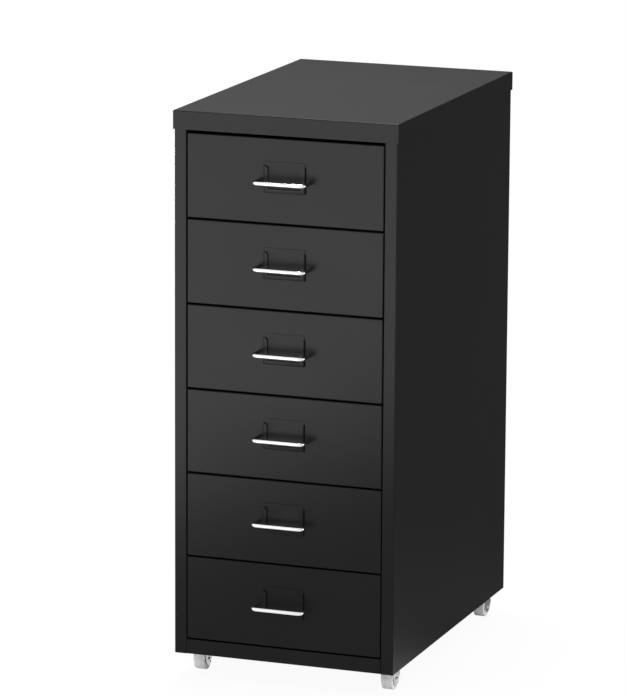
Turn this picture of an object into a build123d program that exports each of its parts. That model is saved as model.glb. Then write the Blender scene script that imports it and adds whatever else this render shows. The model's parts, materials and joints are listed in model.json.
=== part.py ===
from build123d import *
from math import cos, radians, sin
import os

# A steel drawer unit on casters: drawers with wire handles and label holders in a folded sheet carcass.
# Millimetres, X to the right, Y to the back, Z up. The origin is on the floor, under the middle of the
# unit's width and of its whole depth, handles included.

# Whole unit
unit_width = 280.0  # across the lid
unit_depth = 430.0  # across the lid, without the handles
unit_height = 690.0  # floor to the top of the lid

# Sheet steel
carcass_sheet = 0.7
drawer_sheet = 0.6
runner_sheet = 0.8
fold_radius = 1.2  # outside of a fold
panel_gap = 0.3  # between panels that meet edge to edge
cut_overrun = 4.0  # how far a cut runs past what it cuts
rod_sides = 12  # flats that make up the round of a wire, an axle or a swivel pin

# Lid
lid_skirt = 22.5
lid_clearance = 0.6  # between the skirt and the carcass

# Side panels
stile_width = 15.3  # folded front edge beside the drawers
stile_return = 12.0  # the stile's edge, folded back again
rear_flange = 14.0
end_flange = 12.0  # edge turned in at the top and at the bottom

# Floor panel, whose front edge is the bottom rail
rail_height = 18.2
rail_return = 8.0
floor_back_flange = 14.0

# Drawers
drawer_count = 6
drawer_gap = 1.8  # between one drawer front and the next
top_gap = 3.6  # between the lid's skirt and the first drawer front
drawer_side_gap = 0.9  # between a drawer front and the stiles
drawer_travel = 300.0  # to the stop
front_return = 11.0  # edge of the drawer front, folded back
tray_inset = 10.8  # from the drawer front's side edge to the tray's side
tray_depth = 398.0
rim_drop = 10.0  # from the drawer front's top edge to the tray's rim
rim_width = 9.5  # rim turned outwards
floor_rise = 3.0  # from the drawer front's lower edge to the tray's floor
back_wall_drop = 8.0  # the tray's back wall is lower than its rim
stop_tab_height = 5.0
stop_tab_width = 7.0

# Runners
runner_clearance = 0.3  # under the tray's rim
runner_inside = 8.4  # height inside the channel
runner_setback = 1.0  # behind the drawer front's folded edge
ledge_gap = 1.5  # between a tray's side and the channel's free edge
stop_lug_drop = 4.5
stop_lug_width = 9.0
stop_clearance = 0.3  # between tab and lug at full travel

# Label holders
holder_width = 52.0
holder_height = 37.0
holder_rise = 4.6  # above the drawer front's middle
holder_sheet = 0.7
card_slot = 0.9  # between the plate and its lips
side_lip = 4.2
bottom_lip = 4.6
lip_top_drop = 4.0  # the side lips end below the plate's top edge
lip_round = 3.8  # inner top corner of the side lips
holder_corner = 2.5

# Handles
handle_width = 67.8  # over the wire
handle_projection = 22.4  # drawer front to the middle of the bar
wire_diameter = 5.0
wire_bend = 6.0  # radius at the middle of the wire
wire_bend_steps = 3  # short straights that make up a bend

# Casters
caster_inset_side = 18.7  # carcass side to the swivel axis
caster_inset_end = 38.7  # carcass front or back to the swivel axis
caster_trail = 5.0  # swivel axis to the axle
wheel_diameter = 23.0
wheel_width = 14.0
hood_sheet = 1.2
hood_roof_clearance = 1.0  # over the wheel
hood_side_clearance = 0.5  # beside the wheel
hood_lip_angle = 25.0  # where the roof ends, above the axle's level
cheek_radius = 6.0  # round the axle
neck_diameter = 16.0
neck_height = 2.5  # over the roof
swivel_gap = 0.3  # between the neck and the collar
swivel_pin_diameter = 5.0
swivel_pin_length = 3.0
running_clearance = 0.05  # round a pin that turns in its bore
axle_diameter = 4.0
collar_across = 19.0  # spanner collar, across its flats
collar_thickness = 2.0
stem_diameter = 8.0
stem_length = 12.0
stem_clearance = 0.1  # round the stem in the floor panel

# Places worked out from the sizes
axle_z = wheel_diameter / 2
wheel_room_radius = wheel_diameter / 2 + hood_roof_clearance
wheel_room_half = wheel_width / 2 + hood_side_clearance
roof_radius = wheel_room_radius + hood_sheet
hood_half = wheel_room_half + hood_sheet
neck_top = axle_z + roof_radius + neck_height
collar_bottom = neck_top + swivel_gap
caster_height = collar_bottom + collar_thickness  # floor to the carcass
lid_overhang = carcass_sheet + lid_clearance
whole_depth = unit_depth + handle_projection + wire_diameter / 2 - lid_overhang
lid_back = whole_depth / 2
lid_middle = lid_back - unit_depth / 2
face_y = lid_back - unit_depth + lid_overhang  # front of the stiles and of the drawers
carcass_back = lid_back - lid_overhang
carcass_half = unit_width / 2 - lid_overhang
carcass_top = unit_height - carcass_sheet
lid_bottom = unit_height - lid_skirt
rail_top = caster_height + rail_height
opening_half = carcass_half - stile_width
back_panel_front = carcass_back - 2 * carcass_sheet
drawer_pitch = (lid_bottom - top_gap - rail_top) / drawer_count
drawer_height = drawer_pitch - drawer_gap
front_half = opening_half - drawer_side_gap
tray_half = front_half - tray_inset
ledge_half = tray_half + ledge_gap
runner_front = face_y + max(stile_return, front_return) + runner_setback
runner_back = back_panel_front - panel_gap
tray_front = face_y + drawer_sheet
tray_back = tray_front + tray_depth
stop_tab_front = runner_front + runner_sheet + drawer_travel + stop_clearance
drawer_tops = [lid_bottom - top_gap - place * drawer_pitch for place in range(drawer_count)]
front_caster_y = face_y + caster_inset_end
rear_caster_y = carcass_back - caster_inset_end
caster_middle_y = (front_caster_y + rear_caster_y) / 2
caster_x = carcass_half - caster_inset_side
handle_x = (handle_width - wire_diameter) / 2
bar_y = face_y - handle_projection
holder_depth = 2 * holder_sheet + card_slot
bend_step_angle = 90 / wire_bend_steps
bend_step_radius = wire_bend / cos(radians(bend_step_angle / 2))
bow_corner = []
for step in range(wire_bend_steps):
    angle = radians(bend_step_angle * (step + 1 / 2))
    bow_corner.append(
        (
            handle_x - wire_bend + bend_step_radius * sin(angle),
            bar_y + wire_bend - bend_step_radius * cos(angle),
        )
    )
os.makedirs("parts", exist_ok=True)


def save(piece, name):
    piece.part.label = name
    export_step(piece.part, f"parts/{name}.step")


def front_plane(y):
    return Plane.XZ.offset(-y)


# Lid: a cap whose skirt goes round the carcass
with BuildPart() as top_panel:
    with BuildSketch(Plane.XY.offset(lid_bottom)):
        with Locations((0, lid_middle)):
            Rectangle(unit_width, unit_depth)
    extrude(amount=lid_skirt)
    fillet(top_panel.faces().sort_by(Axis.Z)[-1].edges(), fold_radius)
    offset(amount=-carcass_sheet, openings=top_panel.faces().sort_by(Axis.Z)[0])
save(top_panel, "top_panel")

# Side panel: one sheet folded into stile, side and rear flange, with its top and bottom edges turned in
with BuildPart() as right_side_panel:
    with BuildSketch(Plane.XY.offset(caster_height)):
        with BuildLine():
            FilletPolyline(
                (opening_half, face_y + stile_return),
                (opening_half, face_y),
                (carcass_half, face_y),
                (carcass_half, carcass_back),
                (carcass_half - rear_flange, carcass_back),
                radius=fold_radius,
            )
            offset(amount=carcass_sheet, side=Side.LEFT)
        make_face()
    extrude(amount=carcass_top - caster_height)
    for flange_bottom in (caster_height + carcass_sheet, carcass_top - carcass_sheet):
        with BuildSketch(Plane.XY.offset(flange_bottom)):
            with Locations((carcass_half - carcass_sheet / 2, face_y + stile_return)):
                Rectangle(
                    end_flange,
                    back_panel_front - panel_gap - face_y - stile_return,
                    align=(Align.MAX, Align.MIN),
                )
        extrude(amount=carcass_sheet)
save(right_side_panel, "right_side_panel")

with BuildPart() as left_side_panel:
    mirror(right_side_panel.part, about=Plane.YZ)
save(left_side_panel, "left_side_panel")

# Back panel, screwed to the rear flanges from behind
with BuildPart() as back_panel:
    with BuildSketch(front_plane(back_panel_front)):
        with Locations((0, caster_height + carcass_sheet)):
            Rectangle(
                2 * (carcass_half - fold_radius - panel_gap),
                carcass_top - panel_gap - caster_height - carcass_sheet,
                align=(Align.CENTER, Align.MIN),
            )
    extrude(amount=-carcass_sheet)
save(back_panel, "back_panel")

# Floor panel: its front edge is folded up into the bottom rail, and its wings lie under the side flanges
with BuildPart() as bottom_panel:
    with BuildSketch(Plane.YZ):
        with BuildLine():
            FilletPolyline(
                (face_y + rail_return, rail_top),
                (face_y, rail_top),
                (face_y, caster_height),
                (back_panel_front, caster_height),
                (back_panel_front, caster_height + floor_back_flange),
                radius=fold_radius,
            )
            offset(amount=carcass_sheet, side=Side.LEFT)
        make_face()
    extrude(amount=opening_half - panel_gap, both=True)
    with BuildSketch(Plane.XY.offset(caster_height)):
        with Locations((0, face_y + stile_return + panel_gap)):
            Rectangle(
                2 * (carcass_half - carcass_sheet - panel_gap),
                back_panel_front - fold_radius - face_y - stile_return - panel_gap,
                align=(Align.CENTER, Align.MIN),
            )
    extrude(amount=carcass_sheet)
    with Locations((0, caster_middle_y, caster_height)):
        with GridLocations(2 * caster_x, rear_caster_y - front_caster_y, 2, 2):
            Cylinder(stem_diameter / 2 + stem_clearance, cut_overrun, mode=Mode.SUBTRACT)
save(bottom_panel, "bottom_panel")

# Runners: a channel for each drawer, with a lug turned down at its front to stop the tray's tab
with BuildPart() as right_drawer_runners:
    for drawer_top in drawer_tops:
        ledge_top = drawer_top - rim_drop - drawer_sheet - runner_clearance
        channel_top = ledge_top + runner_inside + runner_sheet
        with BuildSketch(front_plane(runner_front)):
            with BuildLine():
                Polyline(
                    (ledge_half, ledge_top - runner_sheet),
                    (carcass_half - carcass_sheet, ledge_top - runner_sheet),
                    (carcass_half - carcass_sheet, channel_top),
                    (ledge_half, channel_top),
                )
                offset(amount=runner_sheet, side=Side.LEFT)
            make_face()
        extrude(amount=runner_front - runner_back)
        with BuildSketch(front_plane(runner_front)):
            with Locations((ledge_half, channel_top)):
                Rectangle(stop_lug_width, runner_sheet + stop_lug_drop, align=(Align.MIN, Align.MAX))
        extrude(amount=-runner_sheet)
save(right_drawer_runners, "right_drawer_runners")

with BuildPart() as left_drawer_runners:
    mirror(right_drawer_runners.part, about=Plane.YZ)
save(left_drawer_runners, "left_drawer_runners")

for number, drawer_top in enumerate(drawer_tops, start=1):
    drawer_bottom = drawer_top - drawer_height
    drawer_middle = drawer_top - drawer_height / 2
    rim_top = drawer_top - rim_drop
    rim_under = rim_top - drawer_sheet
    floor_under = drawer_bottom + floor_rise
    floor_top = floor_under + drawer_sheet
    holder_middle = drawer_middle + holder_rise
    holder_bottom = holder_middle - holder_height / 2
    lip_top = holder_middle + holder_height / 2 - lip_top_drop

    # Drawer front: a shallow pan, open behind
    with BuildPart() as drawer_front:
        with BuildSketch(front_plane(face_y)):
            with Locations((0, drawer_middle)):
                Rectangle(2 * front_half, drawer_height)
        extrude(amount=-front_return)
        fillet(drawer_front.faces().sort_by(Axis.Y)[0].edges(), fold_radius)
        with BuildSketch(front_plane(face_y + drawer_sheet)):
            with Locations((0, drawer_middle)):
                Rectangle(2 * (front_half - drawer_sheet), drawer_height - 2 * drawer_sheet)
        extrude(amount=-front_return, mode=Mode.SUBTRACT)
    save(drawer_front, f"drawer_{number}_front")

    # Tray: floor and sides are one folded sheet whose rims are turned outwards, with a stop tab on each rim
    with BuildPart() as drawer_tray:
        with BuildSketch(front_plane(tray_front)):
            with BuildLine():
                Polyline(
                    (-tray_half - rim_width, rim_under),
                    (-tray_half, rim_under),
                    (-tray_half, floor_under),
                    (tray_half, floor_under),
                    (tray_half, rim_under),
                    (tray_half + rim_width, rim_under),
                )
                offset(amount=drawer_sheet, side=Side.LEFT, kind=Kind.INTERSECTION)
            make_face()
        extrude(amount=-tray_depth)
        with BuildSketch(front_plane(stop_tab_front)):
            for side in (-1, 1):
                with Locations((side * (tray_half + rim_width), rim_under)):
                    Rectangle(
                        stop_tab_width,
                        drawer_sheet + stop_tab_height,
                        align=(Align.MAX if side > 0 else Align.MIN, Align.MIN),
                    )
        extrude(amount=-drawer_sheet)
    save(drawer_tray, f"drawer_{number}_tray")

    # End walls, welded in between the tray's sides
    with BuildPart() as tray_ends:
        for wall_y, wall_top in ((tray_front, rim_top), (tray_back - drawer_sheet, rim_top - back_wall_drop)):
            with BuildSketch(front_plane(wall_y)):
                with Locations((0, floor_top)):
                    Rectangle(
                        2 * (tray_half - drawer_sheet),
                        wall_top - floor_top,
                        align=(Align.CENTER, Align.MIN),
                    )
            extrude(amount=-drawer_sheet)
    save(tray_ends, f"drawer_{number}_tray_ends")

    # Label holder: a plate with three edges folded over, open at the top for the card
    with BuildPart() as label_holder:
        with BuildSketch(front_plane(face_y)) as plate:
            with Locations((0, holder_middle)):
                Rectangle(holder_width, holder_height)
            fillet(plate.vertices().group_by(Axis.Y)[-1], holder_corner)
        extrude(amount=holder_depth)
        with BuildSketch(front_plane(face_y - holder_sheet)):
            with Locations((0, holder_bottom + holder_sheet)):
                Rectangle(holder_width - 2 * holder_sheet, holder_height, align=(Align.CENTER, Align.MIN))
        extrude(amount=card_slot, mode=Mode.SUBTRACT)
        with BuildSketch(front_plane(face_y - holder_sheet)) as window:
            with Locations((0, holder_bottom + bottom_lip)):
                Rectangle(holder_width - 2 * side_lip, holder_height, align=(Align.CENTER, Align.MIN))
            with Locations((0, lip_top)):
                Rectangle(holder_width + 2 * cut_overrun, holder_height, align=(Align.CENTER, Align.MIN))
            fillet(window.vertices().group_by(Axis.Y)[1].sort_by(Axis.X)[1:3], lip_round)
        extrude(amount=holder_depth, mode=Mode.SUBTRACT)
    save(label_holder, f"drawer_{number}_label_holder")

    # Handle: a wire bow that stands on the drawer front
    with BuildPart() as handle:
        with BuildLine(Plane.XY.offset(drawer_middle)):
            Polyline(
                (-handle_x, face_y),
                *[(-x, y) for x, y in reversed(bow_corner)],
                *bow_corner,
                (handle_x, face_y),
            )
        with BuildSketch(front_plane(face_y)):
            with Locations((-handle_x, drawer_middle)):
                RegularPolygon(wire_diameter / 2, rod_sides, major_radius=False, rotation=180 / rod_sides)
        sweep(transition=Transition.RIGHT)
    save(handle, f"drawer_{number}_handle")

for corner, side, swivel_y in (
    ("front_left", -1, front_caster_y),
    ("front_right", 1, front_caster_y),
    ("rear_left", -1, rear_caster_y),
    ("rear_right", 1, rear_caster_y),
):
    swivel_x = side * caster_x
    axle_y = swivel_y + caster_trail
    swivel_plane = Plane((swivel_x, swivel_y, 0))
    axle_plane = Plane.YZ.offset(swivel_x)
    axle_place = (axle_y, axle_z)

    # Hood: a roof over the wheel, two cheeks that narrow to the axle, and a neck on the swivel pin
    with BuildPart() as caster_hood:
        with BuildSketch(axle_plane):
            with BuildLine():
                CenterArc(axle_place, roof_radius, hood_lip_angle, 180 - 2 * hood_lip_angle)
                CenterArc(axle_place, cheek_radius, 180, 180)
            make_hull()
        extrude(amount=hood_half, both=True)
        with BuildSketch(swivel_plane.offset(neck_top)):
            Circle(neck_diameter / 2)
        extrude(amount=axle_z + cheek_radius - neck_top)
        with BuildSketch(axle_plane):
            with Locations(axle_place):
                Circle(wheel_room_radius)
        extrude(amount=wheel_room_half, both=True, mode=Mode.SUBTRACT)
        with BuildSketch(swivel_plane.offset(neck_top)):
            Circle(swivel_pin_diameter / 2 + running_clearance)
        extrude(amount=-swivel_pin_length - swivel_gap, mode=Mode.SUBTRACT)
        with BuildSketch(axle_plane):
            with Locations(axle_place):
                RegularPolygon(axle_diameter / 2 + running_clearance, rod_sides)
        extrude(amount=hood_half, both=True, mode=Mode.SUBTRACT)
    save(caster_hood, f"{corner}_caster_hood")

    with BuildPart() as caster_axle:
        with BuildSketch(axle_plane):
            with Locations(axle_place):
                RegularPolygon(axle_diameter / 2, rod_sides)
        extrude(amount=hood_half, both=True)
    save(caster_axle, f"{corner}_caster_axle")

    with BuildPart() as caster_wheel:
        with BuildSketch(axle_plane):
            with Locations(axle_place):
                Circle(wheel_diameter / 2)
                Circle(axle_diameter / 2 + running_clearance, mode=Mode.SUBTRACT)
        extrude(amount=wheel_width / 2, both=True)
    save(caster_wheel, f"{corner}_caster_wheel")

# Caster stems: screwed through the floor panel, each with a spanner collar and its swivel pin under it
stem_spacing = GridLocations(2 * caster_x, rear_caster_y - front_caster_y, 2, 2)
stem_plane = Plane((0, caster_middle_y, 0))
with BuildPart() as caster_stems:
    with BuildSketch(stem_plane.offset(caster_height)):
        with stem_spacing:
            Circle(stem_diameter / 2)
    extrude(amount=stem_length)
    with BuildSketch(stem_plane.offset(collar_bottom)):
        with stem_spacing:
            RegularPolygon(collar_across / 2, 6, major_radius=False)
    extrude(amount=collar_thickness)
    with BuildSketch(stem_plane.offset(collar_bottom)):
        with stem_spacing:
            RegularPolygon(swivel_pin_diameter / 2, rod_sides)
    extrude(amount=-swivel_gap - swivel_pin_length)
save(caster_stems, "caster_stems")
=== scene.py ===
import json
import math

import bmesh
import bpy
from mathutils import Matrix, Quaternion, Vector


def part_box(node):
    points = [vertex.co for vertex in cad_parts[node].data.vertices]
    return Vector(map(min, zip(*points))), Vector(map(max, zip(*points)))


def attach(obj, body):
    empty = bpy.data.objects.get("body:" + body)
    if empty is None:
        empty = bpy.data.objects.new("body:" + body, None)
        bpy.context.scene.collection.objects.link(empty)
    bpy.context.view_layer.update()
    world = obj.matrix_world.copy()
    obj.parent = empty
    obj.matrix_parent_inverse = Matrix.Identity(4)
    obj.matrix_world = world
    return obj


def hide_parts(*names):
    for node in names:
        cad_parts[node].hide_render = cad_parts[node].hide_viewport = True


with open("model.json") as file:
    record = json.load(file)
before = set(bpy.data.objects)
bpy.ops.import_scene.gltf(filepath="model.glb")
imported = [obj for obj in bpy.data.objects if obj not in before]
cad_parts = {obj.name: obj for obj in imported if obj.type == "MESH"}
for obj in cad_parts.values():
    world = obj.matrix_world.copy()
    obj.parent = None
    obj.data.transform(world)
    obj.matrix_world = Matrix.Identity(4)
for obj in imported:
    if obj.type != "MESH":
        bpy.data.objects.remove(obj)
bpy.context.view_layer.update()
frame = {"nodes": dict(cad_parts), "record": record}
mm = 0.001
weld = 0.002 * mm  # points closer than this are merged
drawerCount = 6
corners = ["front_left", "front_right", "rear_left", "rear_right"]
print("frame loaded:", len(frame["nodes"]), "nodes")


def addGroupSocket(group, name, direction, kind="NodeSocketFloat", value=None):
    socket = group.interface.new_socket(name=name, in_out=direction, socket_type=kind)
    if value is not None:
        socket.default_value = value


noise = {"grainDetail": 3.0, "grainRough": 0.55, "patchDetail": 4.0, "patchFrom": 0.3, "patchTo": 0.7,
         "lineDetail": 2.0}


def makeGrainGroup():  # fine bumps of a coated or moulded skin, and broad soft patches
    group = bpy.data.node_groups.new("skinGrain", "ShaderNodeTree")
    addGroupSocket(group, "Grain Scale", "INPUT", value=900.0)
    addGroupSocket(group, "Patch Scale", "INPUT", value=9.0)
    addGroupSocket(group, "Height", "OUTPUT")
    addGroupSocket(group, "Patch", "OUTPUT")
    nodes, links = group.nodes, group.links
    inputs, outputs = nodes.new("NodeGroupInput"), nodes.new("NodeGroupOutput")
    place = nodes.new("ShaderNodeTexCoord")
    grain, patch = nodes.new("ShaderNodeTexNoise"), nodes.new("ShaderNodeTexNoise")
    grain.inputs["Detail"].default_value = noise["grainDetail"]
    grain.inputs["Roughness"].default_value = noise["grainRough"]
    patch.inputs["Detail"].default_value = noise["patchDetail"]
    soften = nodes.new("ShaderNodeMapRange")
    soften.inputs["From Min"].default_value = noise["patchFrom"]
    soften.inputs["From Max"].default_value = noise["patchTo"]
    links.new(place.outputs["Object"], grain.inputs["Vector"])
    links.new(place.outputs["Object"], patch.inputs["Vector"])
    links.new(inputs.outputs["Grain Scale"], grain.inputs["Scale"])
    links.new(inputs.outputs["Patch Scale"], patch.inputs["Scale"])
    links.new(patch.outputs["Fac"], soften.inputs["Value"])
    links.new(grain.outputs["Fac"], outputs.inputs["Height"])
    links.new(soften.outputs["Result"], outputs.inputs["Patch"])
    return group


def makeDrawLinesGroup():  # faint lines that drawing and rolling leave along the metal
    group = bpy.data.node_groups.new("drawLines", "ShaderNodeTree")
    addGroupSocket(group, "Along", "INPUT", "NodeSocketVector", (40.0, 2500.0, 2500.0))
    addGroupSocket(group, "Height", "OUTPUT")
    nodes, links = group.nodes, group.links
    inputs, outputs = nodes.new("NodeGroupInput"), nodes.new("NodeGroupOutput")
    place, stretch = nodes.new("ShaderNodeTexCoord"), nodes.new("ShaderNodeVectorMath")
    stretch.operation = "MULTIPLY"
    lines = nodes.new("ShaderNodeTexNoise")
    lines.inputs["Scale"].default_value = 1.0
    lines.inputs["Detail"].default_value = noise["lineDetail"]
    links.new(place.outputs["Object"], stretch.inputs[0])
    links.new(inputs.outputs["Along"], stretch.inputs[1])
    links.new(stretch.outputs["Vector"], lines.inputs["Vector"])
    links.new(lines.outputs["Fac"], outputs.inputs["Height"])
    return group


skinGrain = makeGrainGroup()
drawLines = makeDrawLinesGroup()


def makeFinish(name, look):
    material = bpy.data.materials.new(name)
    material.use_nodes = True
    nodes, links = material.node_tree.nodes, material.node_tree.links
    shader = nodes["Principled BSDF"]
    shader.inputs["Metallic"].default_value = look["metallic"]
    shader.inputs["Specular IOR Level"].default_value = look["specular"]
    grain = nodes.new("ShaderNodeGroup")
    grain.node_tree = skinGrain
    grain.inputs["Grain Scale"].default_value = look["grainScale"]
    grain.inputs["Patch Scale"].default_value = look["patchScale"]
    tint = nodes.new("ShaderNodeMix")
    tint.data_type = "RGBA"
    tint.inputs["A"].default_value = (*look["dark"], 1.0)
    tint.inputs["B"].default_value = (*look["light"], 1.0)
    gloss = nodes.new("ShaderNodeMapRange")
    gloss.inputs["To Min"].default_value, gloss.inputs["To Max"].default_value = look["roughness"]
    bump = nodes.new("ShaderNodeBump")
    bump.inputs["Strength"].default_value = look["bump"]
    bump.inputs["Distance"].default_value = look["bumpDepth"]
    links.new(grain.outputs["Patch"], tint.inputs["Factor"])
    links.new(grain.outputs["Patch"], gloss.inputs["Value"])
    links.new(tint.outputs["Result"], shader.inputs["Base Color"])
    links.new(gloss.outputs["Result"], shader.inputs["Roughness"])
    if "along" in look:
        lines = nodes.new("ShaderNodeGroup")
        lines.node_tree = drawLines
        lines.inputs["Along"].default_value = look["along"]
        links.new(lines.outputs["Height"], bump.inputs["Height"])
    else:
        links.new(grain.outputs["Height"], bump.inputs["Height"])
    links.new(bump.outputs["Normal"], shader.inputs["Normal"])
    return material


finishes = {
    "blackCoat": makeFinish("blackCoat", {  # satin powder coat on the cabinet and the drawers
        "dark": (0.0037, 0.0039, 0.0038), "light": (0.0046, 0.0048, 0.0047), "metallic": 0.0,
        "specular": 0.14, "roughness": (0.335, 0.365), "grainScale": 1400.0, "patchScale": 7.0,
        "bump": 0.2, "bumpDepth": 0.06 * mm}),
    "insideCoat": makeFinish("insideCoat", {  # thinner, duller coat on the trays and runners
        "dark": (0.0062, 0.0064, 0.0063), "light": (0.0078, 0.008, 0.0079), "metallic": 0.0,
        "specular": 0.13, "roughness": (0.48, 0.56), "grainScale": 1200.0, "patchScale": 10.0,
        "bump": 0.22, "bumpDepth": 0.06 * mm}),
    "brightWire": makeFinish("brightWire", {  # bright plated wire of the handles
        "dark": (0.8, 0.8, 0.81), "light": (0.88, 0.88, 0.89), "metallic": 1.0,
        "specular": 0.5, "roughness": (0.08, 0.14), "grainScale": 800.0, "patchScale": 60.0,
        "bump": 0.04, "bumpDepth": 0.02 * mm, "along": (40.0, 2500.0, 2500.0)}),
    "zincPlate": makeFinish("zincPlate", {  # dull plating of the hoods, axles, stems, nuts and handle screws
        "dark": (0.6, 0.61, 0.62), "light": (0.72, 0.73, 0.74), "metallic": 1.0,
        "specular": 0.5, "roughness": (0.44, 0.54), "grainScale": 900.0, "patchScale": 120.0,
        "bump": 0.06, "bumpDepth": 0.03 * mm, "along": (1800.0, 60.0, 1800.0)}),
    "wheelPlastic": makeFinish("wheelPlastic", {
        "dark": (0.7, 0.7, 0.69), "light": (0.77, 0.77, 0.76), "metallic": 0.0,
        "specular": 0.4, "roughness": (0.42, 0.5), "grainScale": 1600.0, "patchScale": 90.0,
        "bump": 0.04, "bumpDepth": 0.02 * mm}),
}
print("finishes ready:", len(finishes))


def dressNode(node, finish):
    mesh = frame["nodes"][node].data
    mesh.materials.clear()
    mesh.materials.append(finishes[finish])


for node in frame["nodes"]:
    if "_tray" in node or node.endswith("_runners"):
        dressNode(node, "insideCoat")
    elif node.endswith("_handle"):
        dressNode(node, "brightWire")
    elif node.endswith("_wheel"):
        dressNode(node, "wheelPlastic")
    elif "caster" in node:
        dressNode(node, "zincPlate")
    else:
        dressNode(node, "blackCoat")
print("solids dressed")


def finishPiece(bm, name, body, finish, smoothAngle=40.0, sheet=0.0, softEdge=0.0):
    bmesh.ops.remove_doubles(bm, verts=bm.verts, dist=weld)
    bmesh.ops.recalc_face_normals(bm, faces=bm.faces)
    mesh = bpy.data.meshes.new(name)
    bm.to_mesh(mesh)
    bm.free()
    mesh.materials.append(finishes[finish])
    mesh.shade_smooth()
    mesh.set_sharp_from_angle(angle=math.radians(smoothAngle))
    piece = bpy.data.objects.new(name, mesh)
    bpy.context.scene.collection.objects.link(piece)
    if sheet:
        thicken = piece.modifiers.new("sheet", "SOLIDIFY")
        thicken.thickness, thicken.offset, thicken.use_even_offset = sheet, 0.0, True
    if softEdge:
        soften = piece.modifiers.new("softEdge", "BEVEL")
        soften.width, soften.segments, soften.limit_method = softEdge, 2, "ANGLE"
        soften.angle_limit = math.radians(smoothAngle)
        soften.harden_normals = True
    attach(piece, body)
    return piece


def extrudeRing(bm, edges, step):
    made = bmesh.ops.extrude_edge_only(bm, edges=edges)["geom"]
    ends = [item for item in made if isinstance(item, bmesh.types.BMVert)]
    bmesh.ops.translate(bm, verts=ends, vec=step)
    return [item for item in made if isinstance(item, bmesh.types.BMEdge)]


def sharpEdges(bm, angle):
    return [edge for edge in bm.edges
            if len(edge.link_faces) == 2 and edge.calc_face_angle() > math.radians(angle)]


def spinRing(bm, edges, centre, axis, angle, steps):
    made = bmesh.ops.spin(bm, geom=edges, cent=centre, axis=axis, angle=angle, steps=steps)["geom_last"]
    return [item for item in made if isinstance(item, bmesh.types.BMEdge)]


handle = {"wire": 5.0 * mm, "bend": 6.0 * mm, "ringSides": 28, "bendSteps": 12}


def buildHandle(number):
    low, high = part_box(f"drawer_{number}_handle")
    radius, bend = handle["wire"] / 2, handle["bend"]
    armX, barY, rootY = high.x - radius, low.y + radius, high.y
    z = (low.z + high.z) / 2
    bm = bmesh.new()
    turned = Matrix.Translation((armX, rootY, z)) @ Matrix.Rotation(math.pi / 2, 4, "X")
    bmesh.ops.create_circle(bm, segments=handle["ringSides"], radius=radius, cap_ends=True, matrix=turned)
    ring = extrudeRing(bm, bm.edges[:], (0, barY + bend - rootY, 0))
    ring = spinRing(bm, ring, (armX - bend, barY + bend, z), (0, 0, -1), math.pi / 2, handle["bendSteps"])
    ring = extrudeRing(bm, ring, (2 * bend - 2 * armX, 0, 0))
    ring = spinRing(bm, ring, (bend - armX, barY + bend, z), (0, 0, -1), math.pi / 2, handle["bendSteps"])
    ring = extrudeRing(bm, ring, (0, rootY - barY - bend, 0))
    bmesh.ops.contextual_create(bm, geom=ring)
    piece = finishPiece(bm, f"handleWire{number}", f"drawer_{number}", "brightWire")
    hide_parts(f"drawer_{number}_handle")


for number in range(1, drawerCount + 1):
    buildHandle(number)
print("handles bent:", drawerCount)


holder = {"sheet": 0.5 * mm, "depth": 2.6 * mm, "sideLip": 5.4 * mm, "bottomLip": 4.6 * mm,
          "lipDrop": 5.0 * mm, "corner": 2.5 * mm, "lipRound": 4.7 * mm, "fold": 0.8 * mm, "foldFrom": 57.0,
          "softEdge": 0.1 * mm}


def buildLabelHolder(number):  # a plate whose sides and lower edge are folded forward and over the card
    low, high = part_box(f"drawer_{number}_label_holder")
    half = holder["sheet"] / 2
    left, right, bottom, top = low.x + half, high.x - half, low.z + half, high.z
    plateY, lipY = high.y - half, high.y - holder["depth"] + half
    lipTop = high.z - holder["lipDrop"]
    bm = bmesh.new()
    outline = [(left, lipTop), (left, bottom), (right, bottom), (right, lipTop), (right, top), (left, top)]
    points = [bm.verts.new((x, plateY, z)) for x, z in outline]
    bm.faces.new(points)
    bmesh.ops.bevel(bm, geom=points[4:], affect="VERTICES", offset=holder["corner"], segments=6,
                    profile=0.5, material=-1)
    folds = [bm.edges.get(pair) for pair in zip(points[:3], points[1:4])]
    walls = extrudeRing(bm, folds, (0, lipY - plateY, 0))
    lips = extrudeRing(bm, walls, (0, 0, 0))
    free = list({vert for edge in lips for vert in edge.verts})
    for vert in free:
        vert.co.x += holder["sideLip"] - half if vert.co.x < 0 else half - holder["sideLip"]
        if vert.co.z < lipTop - half:
            vert.co.z += holder["bottomLip"] - half
    lipEnds = [vert for vert in free if vert.co.z > lipTop - half]
    bmesh.ops.bevel(bm, geom=lipEnds, affect="VERTICES", offset=holder["lipRound"], segments=6,
                    profile=0.5, material=-1)
    bmesh.ops.bevel(bm, geom=sharpEdges(bm, holder["foldFrom"]), affect="EDGES", offset=holder["fold"],
                    segments=3, profile=0.5, material=-1)
    piece = finishPiece(bm, f"labelHolder{number}", f"drawer_{number}", "blackCoat",
                        sheet=holder["sheet"], softEdge=holder["softEdge"])
    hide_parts(f"drawer_{number}_label_holder")


for number in range(1, drawerCount + 1):
    buildLabelHolder(number)
print("label holders folded:", drawerCount)


wheel = {"bore": 2.1 * mm, "hub": 4.6 * mm, "dish": 1.3 * mm, "slope": 0.5 * mm, "rim": 8.6 * mm,
         "shoulder": 1.1 * mm, "steps": 64}


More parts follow.
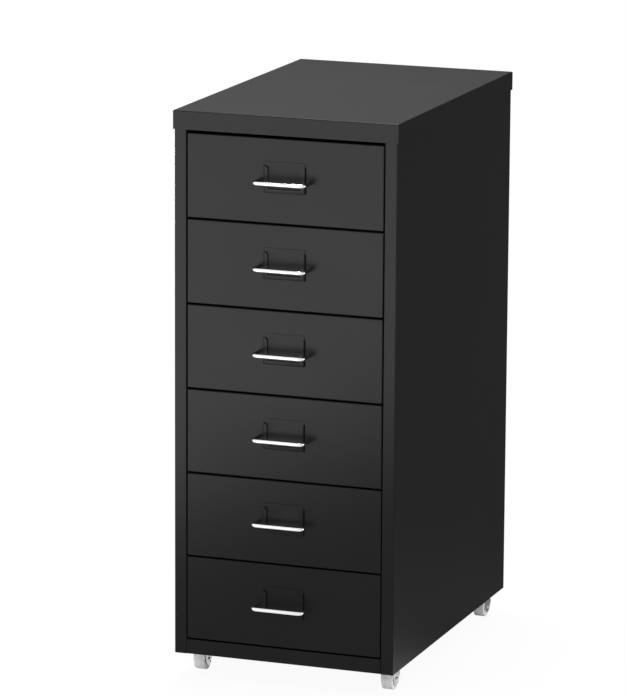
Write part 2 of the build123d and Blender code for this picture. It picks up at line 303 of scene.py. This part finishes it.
def buildWheel(corner):  # dished on both sides between the hub and the rim
    low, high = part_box(f"{corner}_caster_wheel")
    middle = (low + high) / 2
    half, tread = (high.x - low.x) / 2, (high.z - low.z) / 2
    bm = bmesh.new()
    profile = [  # across the width, then out from the axle
        (-half, wheel["bore"]), (-half, wheel["hub"]),
        (-half + wheel["dish"], wheel["hub"] + wheel["slope"]), (-half + wheel["dish"], wheel["rim"]),
        (-half, wheel["rim"] + wheel["slope"]), (-half, tread),
    ]
    profile += [(-x, r) for x, r in reversed(profile)]
    points = [bm.verts.new(middle + Vector((x, 0, r))) for x, r in profile]
    for pair in zip(points, points[1:] + points[:1]):
        bm.edges.new(pair)
    bmesh.ops.bevel(bm, geom=[points[5], points[6]], affect="VERTICES", offset=wheel["shoulder"],
                    segments=5, profile=0.5, material=-1)
    bmesh.ops.spin(bm, geom=bm.verts[:] + bm.edges[:], cent=middle, axis=(1, 0, 0), angle=2 * math.pi,
                   steps=wheel["steps"], use_merge=True)
    piece = finishPiece(bm, f"{corner}WheelMoulding", f"{corner}_wheel", "wheelPlastic")
    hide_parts(f"{corner}_caster_wheel")


for corner in corners:
    buildWheel(corner)
print("wheels turned:", len(corners))


hood = {"softEdge": 0.25 * mm, "sharp": 40.0, "flat": 1.0, "lipHeight": 21.3 * mm, "lipReach": 8.0 * mm,
        "windowDeep": 40.0 * mm, "windowSpare": 1.2 * mm}


def addLoose(bm, name):
    mesh = bpy.data.meshes.new(name)
    bm.to_mesh(mesh)
    bm.free()
    item = bpy.data.objects.new(name, mesh)
    bpy.context.scene.collection.objects.link(item)
    return item


def cutAway(body, cutter):  # takes the cutter's form out of the body and uses both up
    body, cutter = addLoose(body, "cutBody"), addLoose(cutter, "cutter")
    carve = body.modifiers.new("carve", "BOOLEAN")
    carve.operation, carve.solver, carve.object = "DIFFERENCE", "EXACT", cutter
    mesh = bpy.data.meshes.new_from_object(body.evaluated_get(bpy.context.evaluated_depsgraph_get()))
    bm = bmesh.new()
    bm.from_mesh(mesh)
    for used in (mesh, body.data, cutter.data):
        bpy.data.meshes.remove(used)
    return bm


def mergeFlats(bm):
    bmesh.ops.remove_doubles(bm, verts=bm.verts, dist=weld)
    bmesh.ops.dissolve_limit(bm, angle_limit=math.radians(hood["flat"]), verts=bm.verts, edges=bm.edges)


def buildHood(corner):  # the solid's hood, open in front of the wheel and with its sharp edges softened
    node = f"{corner}_caster_hood"
    low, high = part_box(node)
    axle = sum(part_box(f"{corner}_caster_axle"), Vector()) / 2
    pressing, window = bmesh.new(), bmesh.new()
    pressing.from_mesh(frame["nodes"][node].data)
    mergeFlats(pressing)
    across, deep = high.x - low.x + 2 * hood["windowSpare"], hood["windowDeep"]
    bmesh.ops.create_cube(window, size=1.0)
    bmesh.ops.scale(window, verts=window.verts, vec=(across, deep, 2 * hood["lipHeight"]))
    bmesh.ops.translate(window, verts=window.verts, vec=(axle.x, axle.y - hood["lipReach"] - deep / 2, 0))
    bm = cutAway(pressing, window)
    mergeFlats(bm)
    bmesh.ops.bevel(bm, geom=sharpEdges(bm, hood["sharp"]), affect="EDGES", offset=hood["softEdge"],
                    segments=2, profile=0.5, material=-1, clamp_overlap=True)
    piece = finishPiece(bm, f"{corner}HoodPressing", f"{corner}_caster", "zincPlate")
    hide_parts(node)


rivet = {"radius": 3.9 * mm, "height": 1.5 * mm, "rim": 0.6 * mm, "cup": 2.4 * mm, "cupDeep": 0.8 * mm,
         "steps": 36}


def buildAxleHeads(corner):  # rolled ends of the axle, one on each cheek
    low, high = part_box(f"{corner}_caster_axle")
    middle = (low + high) / 2
    radius, top, rim, cup = rivet["radius"], rivet["height"], rivet["rim"], rivet["cup"]
    cupFloor = top - rivet["cupDeep"]
    profile = [  # out from the cheek, then from the axle's middle
        (0.0, 0.0), (0.0, radius), (top - rim, radius), (top, radius - rim),
        (top, cup + rim / 2), (top - rim, cup), (cupFloor, cup - rim), (cupFloor, 0.0),
    ]
    bm = bmesh.new()
    for face, outwards in ((low.x, -1), (high.x, 1)):
        centre = Vector((face, middle.y, middle.z))
        points = [bm.verts.new(centre + Vector((outwards * x, 0, r))) for x, r in profile]
        edges = [bm.edges.new(pair) for pair in zip(points, points[1:])]
        bmesh.ops.spin(bm, geom=points + edges, cent=centre, axis=(1, 0, 0), angle=2 * math.pi,
                       steps=rivet["steps"], use_merge=True)
    finishPiece(bm, f"{corner}AxleHeads", f"{corner}_caster", "zincPlate", smoothAngle=60.0)


for corner in corners:
    buildHood(corner)
    buildAxleHeads(corner)
print("hoods pressed and axles riveted:", len(corners))


screw = {"radius": 3.4 * mm, "height": 1.1 * mm, "rim": 0.55 * mm, "sides": 24,
         "crossLong": 1.9 * mm, "crossWide": 0.45 * mm, "crossDeep": 0.7 * mm}


def addScrewHead(bm, place, outwards):  # pan head with a cross recess, on a face that looks outwards
    turn = Vector((0, 0, 1)).rotation_difference(outwards).to_matrix().to_4x4()
    turned = Matrix.Translation(place) @ turn
    made = bmesh.ops.create_circle(bm, segments=screw["sides"], radius=screw["radius"], cap_ends=True,
                                   matrix=turned)["verts"]
    ring = list({edge for vert in made for edge in vert.link_edges})
    for lift, narrow in ((screw["height"] - screw["rim"], 0.0), (screw["rim"], screw["rim"])):
        ring = extrudeRing(bm, ring, outwards * lift)
        verts = list({vert for edge in ring for vert in edge.verts})
        share = 1 - narrow / screw["radius"]
        middle = sum((vert.co for vert in verts), Vector()) / len(verts)
        bmesh.ops.scale(bm, vec=(share, share, share), space=Matrix.Translation(-middle), verts=verts)
    long, wide, top = screw["crossLong"], screw["crossWide"], screw["height"]
    arm = [(wide, wide), (wide, long), (-wide, long)]
    cross = []
    for quarter in range(4):
        quarterTurn = Matrix.Rotation(quarter * math.pi / 2, 3, "Z")
        cross += [bm.verts.new(turned @ (quarterTurn @ Vector((x, y, top)))) for x, y in arm]
    loop = [bm.edges.new(pair) for pair in zip(cross, cross[1:] + cross[:1])]
    bmesh.ops.triangle_fill(bm, edges=ring + loop, use_beauty=True, normal=outwards)
    walls = extrudeRing(bm, loop, outwards * -screw["crossDeep"])
    bmesh.ops.contextual_create(bm, geom=walls)


def buildScrews(name, body, places, outwards, finish):
    bm = bmesh.new()
    for place in places:
        addScrewHead(bm, Vector(place), Vector(outwards))
    finishPiece(bm, name, body, finish, smoothAngle=30.0)


fixing = {"flangeInset": 7.0 * mm, "rearHeights": (0.07, 0.27, 0.47, 0.65),
          "floorInset": 6.5 * mm, "floorDepths": (-0.1, 0.03, 0.15), "wallSheet": 0.6 * mm}


def buildCarcassScrews():
    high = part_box("right_side_panel")[1]
    rearX = high.x - fixing["flangeInset"]
    rear = [(side * rearX, high.y, z) for side in (-1, 1) for z in fixing["rearHeights"]]
    buildScrews("rearScrews", "cabinet", rear, (0, 1, 0), "blackCoat")
    floorLow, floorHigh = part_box("bottom_panel")
    under = [(side * (floorHigh.x - fixing["floorInset"]), y, floorLow.z)
             for side in (-1, 1) for y in fixing["floorDepths"]]
    buildScrews("floorScrews", "cabinet", under, (0, 0, -1), "blackCoat")


def buildHandleScrews(number):  # hold the wire's ends, from inside the drawer
    low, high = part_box(f"drawer_{number}_handle")
    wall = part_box(f"drawer_{number}_tray_ends")[0].y + fixing["wallSheet"]
    armX, z = high.x - handle["wire"] / 2, (low.z + high.z) / 2
    places = [(-armX, wall, z), (armX, wall, z)]
    buildScrews(f"handleScrews{number}", f"drawer_{number}", places, (0, 1, 0), "zincPlate")


buildCarcassScrews()
for number in range(1, drawerCount + 1):
    buildHandleScrews(number)
print("screws in place")


nut = {"across": 13.0 * mm, "height": 6.5 * mm, "chamfer": 0.7 * mm, "floorSheet": 0.7 * mm}
stemY = {joint["name"].replace("_swivel", ""): joint["pos_m"][1]
         for joint in frame["record"]["behaviour"]["joints"] if joint["name"].endswith("_swivel")}


def buildStemNuts():  # hex nuts that hold the caster stems on the floor panel
    bm = bmesh.new()
    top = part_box("bottom_panel")[0].z + nut["floorSheet"]
    radius = nut["across"] / math.sqrt(3)
    for corner in corners:
        low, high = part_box(f"{corner}_caster_hood")
        place = Vector(((low.x + high.x) / 2, stemY[corner], top + nut["height"] / 2))
        bmesh.ops.create_cone(bm, cap_ends=True, segments=6, radius1=radius, radius2=radius,
                              depth=nut["height"], matrix=Matrix.Translation(place))
    rims = [edge for edge in bm.edges if abs(edge.verts[0].co.z - edge.verts[1].co.z) < nut["height"] / 2]
    bmesh.ops.bevel(bm, geom=rims, affect="EDGES", offset=nut["chamfer"], segments=2, profile=0.5,
                    material=-1)
    finishPiece(bm, "stemNuts", "cabinet", "zincPlate", smoothAngle=30.0)


buildStemNuts()
print("stem nuts in place:", len(stemY))


camera = {"azimuth": 20.11, "elevation": 12.24, "roll": 0.33, "distance": 5.6465, "aside": -0.0396,
          "raised": 0.0071, "aim": (0.0, 0.0118, 0.365), "focalPixels": 4630.9, "pictureHeight": 696,
          "sensor": 36.0, "farClip": 200.0}


def placeCamera():
    data = bpy.data.cameras.new("camera")
    data.sensor_width = camera["sensor"]
    data.lens = camera["focalPixels"] * camera["sensor"] / camera["pictureHeight"]
    data.clip_end = camera["farClip"]
    azimuth, elevation = math.radians(camera["azimuth"]), math.radians(camera["elevation"])
    level = math.cos(elevation)
    back = Vector((math.sin(azimuth) * level, -math.cos(azimuth) * level, math.sin(elevation)))
    right = Vector((math.cos(azimuth), math.sin(azimuth), 0.0))
    up = back.cross(right)
    roll = Matrix.Rotation(math.radians(camera["roll"]), 3, back)
    right, up = roll @ right, roll @ up
    viewer = bpy.data.objects.new("camera", data)
    viewer.matrix_world = Matrix((right, up, back)).transposed().to_4x4()
    viewer.location = (Vector(camera["aim"]) + back * camera["distance"] + right * camera["aside"]
                       + up * camera["raised"])
    bpy.context.scene.collection.objects.link(viewer)
    bpy.context.scene.camera = viewer


studio = {
    "floorSize": 60.0, "floorTint": (0.8, 0.8, 0.8), "floorRough": 0.9, "floorWhite": 1.0, "worldTint": 1.0,
    "shadowShare": 0.06, "shadowNear": 0.25, "shadowFar": 0.7,  # the shadow fades out between these radii
    "brightSide": (-0.6, -0.8, 0.0),  # reflections are bright towards this side and dim away from it
    "brightFrom": 0.4, "dimTo": -1.0, "dimShare": 0.138,
    "lamps": {
        "keySoftbox": {"at": (-0.27, -0.93, 0.52), "aim": (0.0, -0.202, 0.71), "size": (0.95, 0.8),
                       "roll": 20.0, "spread": 40.0, "power": 0.83},
        "leftSoftbox": {"at": (-1.9, -1.25, 0.55), "aim": (0.0, -0.2, 0.4), "size": (0.7, 1.3),
                        "roll": 0.0, "spread": 60.0, "power": 1.6},
        "lidSoftbox": {"at": (-0.1, 0.15, 1.65), "aim": (0.0, 0.0, 0.69), "size": (0.6, 0.6),
                       "roll": 0.0, "spread": 70.0, "power": 4.2},
        "rearSoftbox": {"at": (-1.5, 2.0, 0.28), "aim": (-0.05, 0.1, 0.33), "size": (0.9, 0.46),
                        "roll": 0.0, "spread": 70.0, "power": 5.0},
        "rightSoftbox": {"at": (2.1, -0.15, 0.4), "aim": (0.14, 0.0, 0.35), "size": (1.2, 0.7),
                         "roll": 0.0, "spread": 70.0, "power": 2.4},
    },
}


def linkFade(nodes, links, source, low, high, atLow, atHigh):
    fade = nodes.new("ShaderNodeMapRange")
    fade.interpolation_type = "SMOOTHSTEP"
    for socket, value in (("From Min", low), ("From Max", high), ("To Min", atLow), ("To Max", atHigh)):
        fade.inputs[socket].default_value = value
    links.new(source, fade.inputs["Value"])
    return fade.outputs["Result"]


def linkMath(nodes, links, operation, first, second):
    maths = nodes.new("ShaderNodeMath")
    maths.operation = operation
    links.new(first, maths.inputs[0])
    links.new(second, maths.inputs[1])
    return maths.outputs["Value"]


def linkReflection(nodes, links, place, path, direct):  # what reflections see, and what other rays see
    towards, along = nodes.new("ShaderNodeVectorMath"), nodes.new("ShaderNodeVectorMath")
    choose = nodes.new("ShaderNodeMix")
    towards.operation, along.operation = "NORMALIZE", "DOT_PRODUCT"
    along.inputs[1].default_value = studio["brightSide"]
    links.new(place, towards.inputs[0])
    links.new(towards.outputs["Vector"], along.inputs[0])
    fade = linkFade(nodes, links, along.outputs["Value"], studio["dimTo"], studio["brightFrom"],
                    studio["floorWhite"] * studio["dimShare"], studio["floorWhite"])
    choose.inputs["A"].default_value = direct
    links.new(path.outputs["Is Glossy Ray"], choose.inputs["Factor"])
    links.new(fade, choose.inputs["B"])
    return choose.outputs["Result"]


def buildFloor():  # white to the eye, with the unit's shadow close round it
    bm = bmesh.new()
    bmesh.ops.create_grid(bm, x_segments=1, y_segments=1, size=studio["floorSize"] / 2)
    mesh = bpy.data.meshes.new("floor")
    bm.to_mesh(mesh)
    bm.free()
    material = bpy.data.materials.new("paleFloor")
    material.use_nodes = True
    nodes, links = material.node_tree.nodes, material.node_tree.links
    paint = nodes["Principled BSDF"]
    paint.inputs["Base Color"].default_value = (*studio["floorTint"], 1.0)
    paint.inputs["Roughness"].default_value = studio["floorRough"]
    paint.inputs["Specular IOR Level"].default_value = 0.0
    glow, blend = nodes.new("ShaderNodeEmission"), nodes.new("ShaderNodeMixShader")
    path, place = nodes.new("ShaderNodeLightPath"), nodes.new("ShaderNodeTexCoord")
    reach = nodes.new("ShaderNodeVectorMath")
    seen = linkMath(nodes, links, "MAXIMUM", path.outputs["Is Camera Ray"], path.outputs["Is Glossy Ray"])
    seen = linkMath(nodes, links, "MAXIMUM", seen, path.outputs["Is Transmission Ray"])
    level = linkReflection(nodes, links, place.outputs["Object"], path, studio["floorWhite"])
    reach.operation = "LENGTH"
    links.new(place.outputs["Object"], reach.inputs[0])
    share = linkFade(nodes, links, reach.outputs["Value"], studio["shadowNear"], studio["shadowFar"],
                     1.0 - studio["shadowShare"], 1.0)
    links.new(linkMath(nodes, links, "MULTIPLY", seen, share), blend.inputs["Fac"])
    links.new(level, glow.inputs["Strength"])
    links.new(paint.outputs["BSDF"], blend.inputs[1])
    links.new(glow.outputs["Emission"], blend.inputs[2])
    links.new(blend.outputs["Shader"], nodes["Material Output"].inputs["Surface"])
    mesh.materials.append(material)
    floor = bpy.data.objects.new("floor", mesh)
    bpy.context.scene.collection.objects.link(floor)


def buildWorld():
    world = bpy.data.worlds.new("studio")
    world.use_nodes = True
    nodes, links = world.node_tree.nodes, world.node_tree.links
    path, place = nodes.new("ShaderNodeLightPath"), nodes.new("ShaderNodeTexCoord")
    choose = nodes.new("ShaderNodeMix")
    level = linkReflection(nodes, links, place.outputs["Generated"], path, studio["worldTint"])
    seen = linkMath(nodes, links, "MAXIMUM", path.outputs["Is Camera Ray"],
                    path.outputs["Is Transmission Ray"])
    choose.inputs["B"].default_value = studio["floorWhite"]
    links.new(seen, choose.inputs["Factor"])
    links.new(level, choose.inputs["A"])
    nodes["Background"].inputs["Color"].default_value = (1.0, 1.0, 1.0, 1.0)
    links.new(choose.outputs["Result"], nodes["Background"].inputs["Strength"])
    bpy.context.scene.world = world


def hangLamps():
    for name, lamp in studio["lamps"].items():
        data = bpy.data.lights.new(name, "AREA")
        data.shape, data.energy = "RECTANGLE", lamp["power"]
        data.size, data.size_y = lamp["size"]
        data.spread = math.radians(lamp["spread"])
        softbox = bpy.data.objects.new(name, data)
        softbox.location = lamp["at"]
        softbox.rotation_mode = "QUATERNION"
        facing = (Vector(lamp["aim"]) - Vector(lamp["at"])).to_track_quat("-Z", "Y")
        softbox.rotation_quaternion = facing @ Quaternion((0, 0, 1), math.radians(lamp["roll"]))
        bpy.context.scene.collection.objects.link(softbox)


buildFloor()
buildWorld()
hangLamps()
placeCamera()
bpy.context.scene.view_settings.view_transform = "Standard"
print("studio set")
